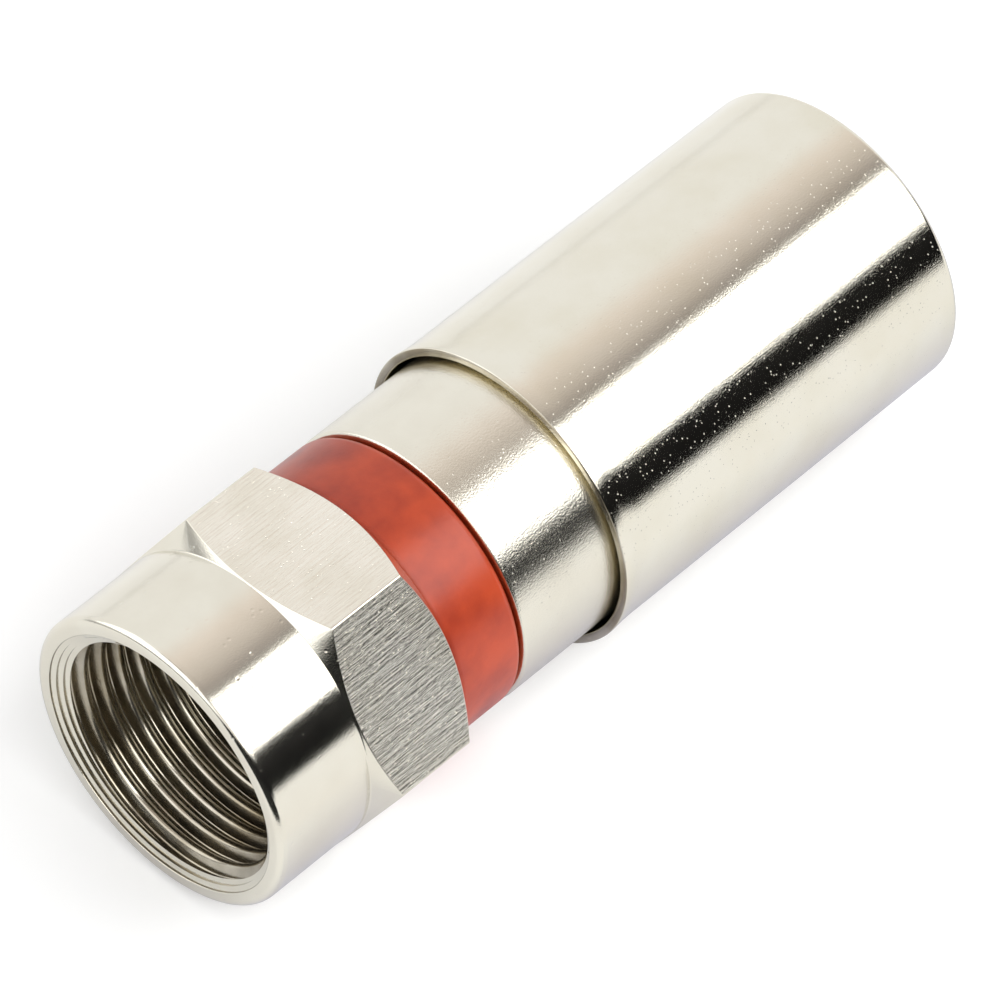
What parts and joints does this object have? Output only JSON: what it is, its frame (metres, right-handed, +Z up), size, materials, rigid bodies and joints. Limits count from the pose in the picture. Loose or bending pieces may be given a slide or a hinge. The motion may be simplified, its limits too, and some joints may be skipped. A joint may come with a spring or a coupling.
{
  "type": "f connector",
  "caption": "Male coaxial connector for crimped-on cable: hexagon coupling nut with internal thread, red sealing ring, metal body and sliding compression sleeve.",
  "frame": {"origin": "on the connector's axis, in the front face of the post, where a port's end face stops", "axes": "+X along the connector's axis towards the cable, +Z up, out of a flat of the hexagon, with the connector lying on the opposite flat's side"},
  "size_m": [0.032, 0.0128, 0.0114],
  "materials": {
    "nickel_plate": "bright nickel plate over turned brass",
    "tin_plate": "satin tin plate over turned brass",
    "silicone": "satin moulded silicone",
    "acetal": "moulded acetal"
  },
  "bodies": {
    "barrel": {"post": "tin_plate", "connector_body": "nickel_plate", "sealing_ring": "silicone"},
    "nut": {"coupling_nut": "nickel_plate"},
    "sleeve": {"compression_sleeve": "nickel_plate", "grip_ferrule": "acetal"}
  },
  "joints": [
    {"name": "nut_swivel", "type": "hinge", "parent": "barrel", "child": "nut", "pos_m": [0.0018, 0, 0], "axis": [-1, 0, 0], "continuous": true},
    {"name": "sleeve_slide", "type": "slide", "parent": "barrel", "child": "sleeve", "axis": [-1, 0, 0], "range_m": [0, 0.004]}
  ]
}
